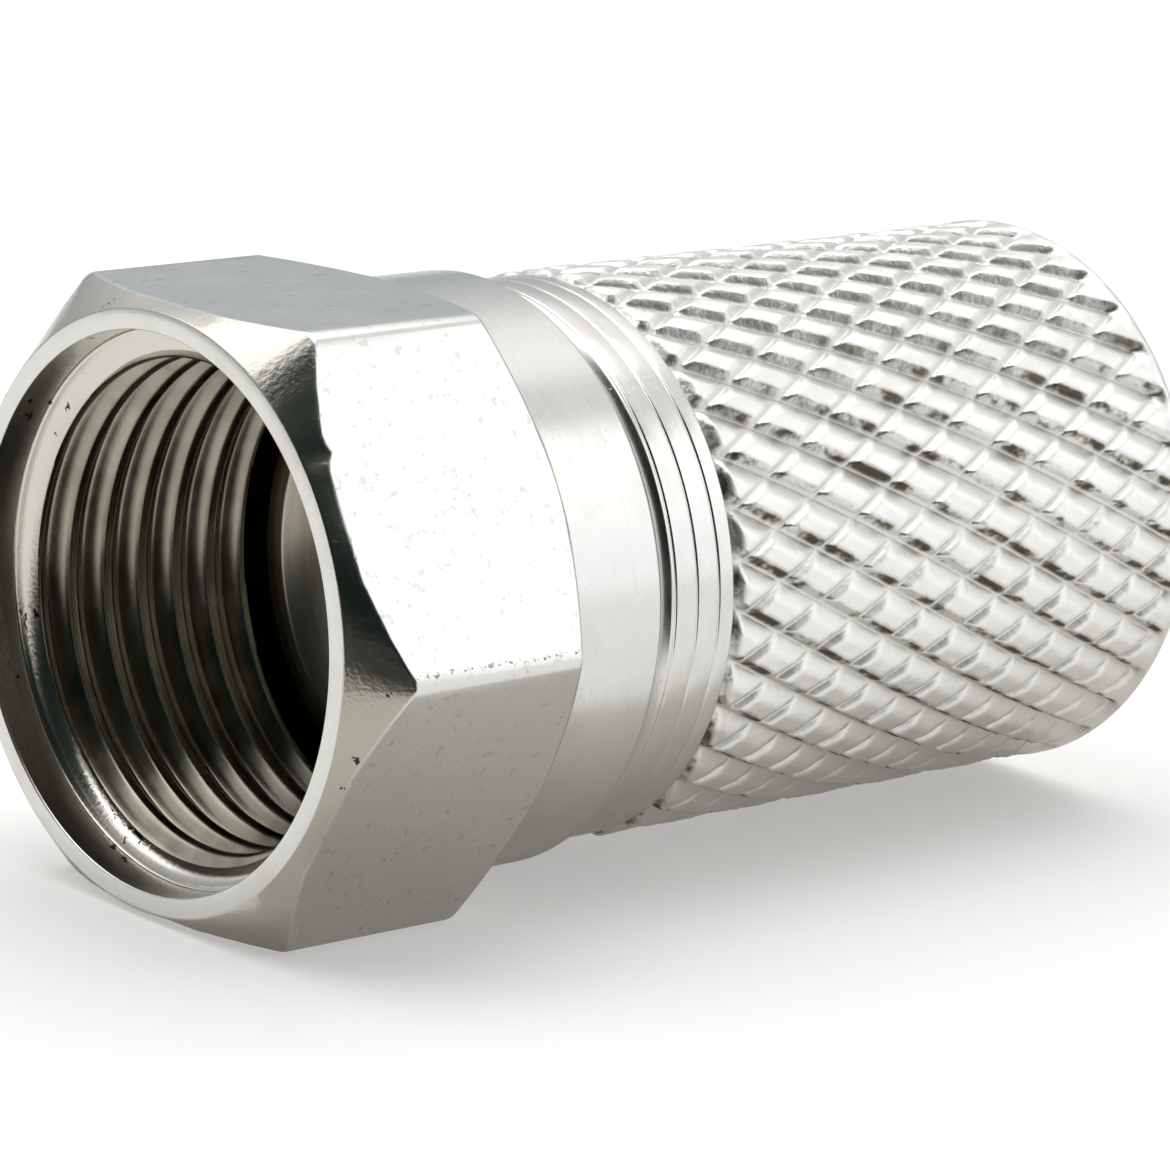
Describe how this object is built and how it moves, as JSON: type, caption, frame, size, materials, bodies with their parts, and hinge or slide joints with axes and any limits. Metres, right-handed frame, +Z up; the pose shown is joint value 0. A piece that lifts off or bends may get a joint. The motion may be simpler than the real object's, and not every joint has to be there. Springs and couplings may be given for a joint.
{
  "type": "coaxial cable connector",
  "caption": "Screw-on coaxial F connector: a free-turning hexagonal coupling nut on a one-piece body with a diamond-knurled barrel.",
  "frame": {"origin": "on the connector's axis, where the coupling thread starts behind the mouth's counterbore", "axes": "+X along the axis towards the cable end, +Z up, square to the hexagon flat that the nut lies on"},
  "size_m": [0.0212, 0.0128, 0.011],
  "materials": {
    "nut_nickel": "bright nickel plating on turned and milled brass",
    "body_nickel": "bright nickel plating on turned and knurled brass"
  },
  "bodies": {
    "body": {"connector_body": "body_nickel"},
    "nut": {"coupling_nut": "nut_nickel"}
  },
  "joints": [
    {"name": "nut_spin", "type": "hinge", "parent": "body", "child": "nut", "pos_m": [0, 0, 0], "axis": [1, 0, 0], "continuous": true}
  ]
}
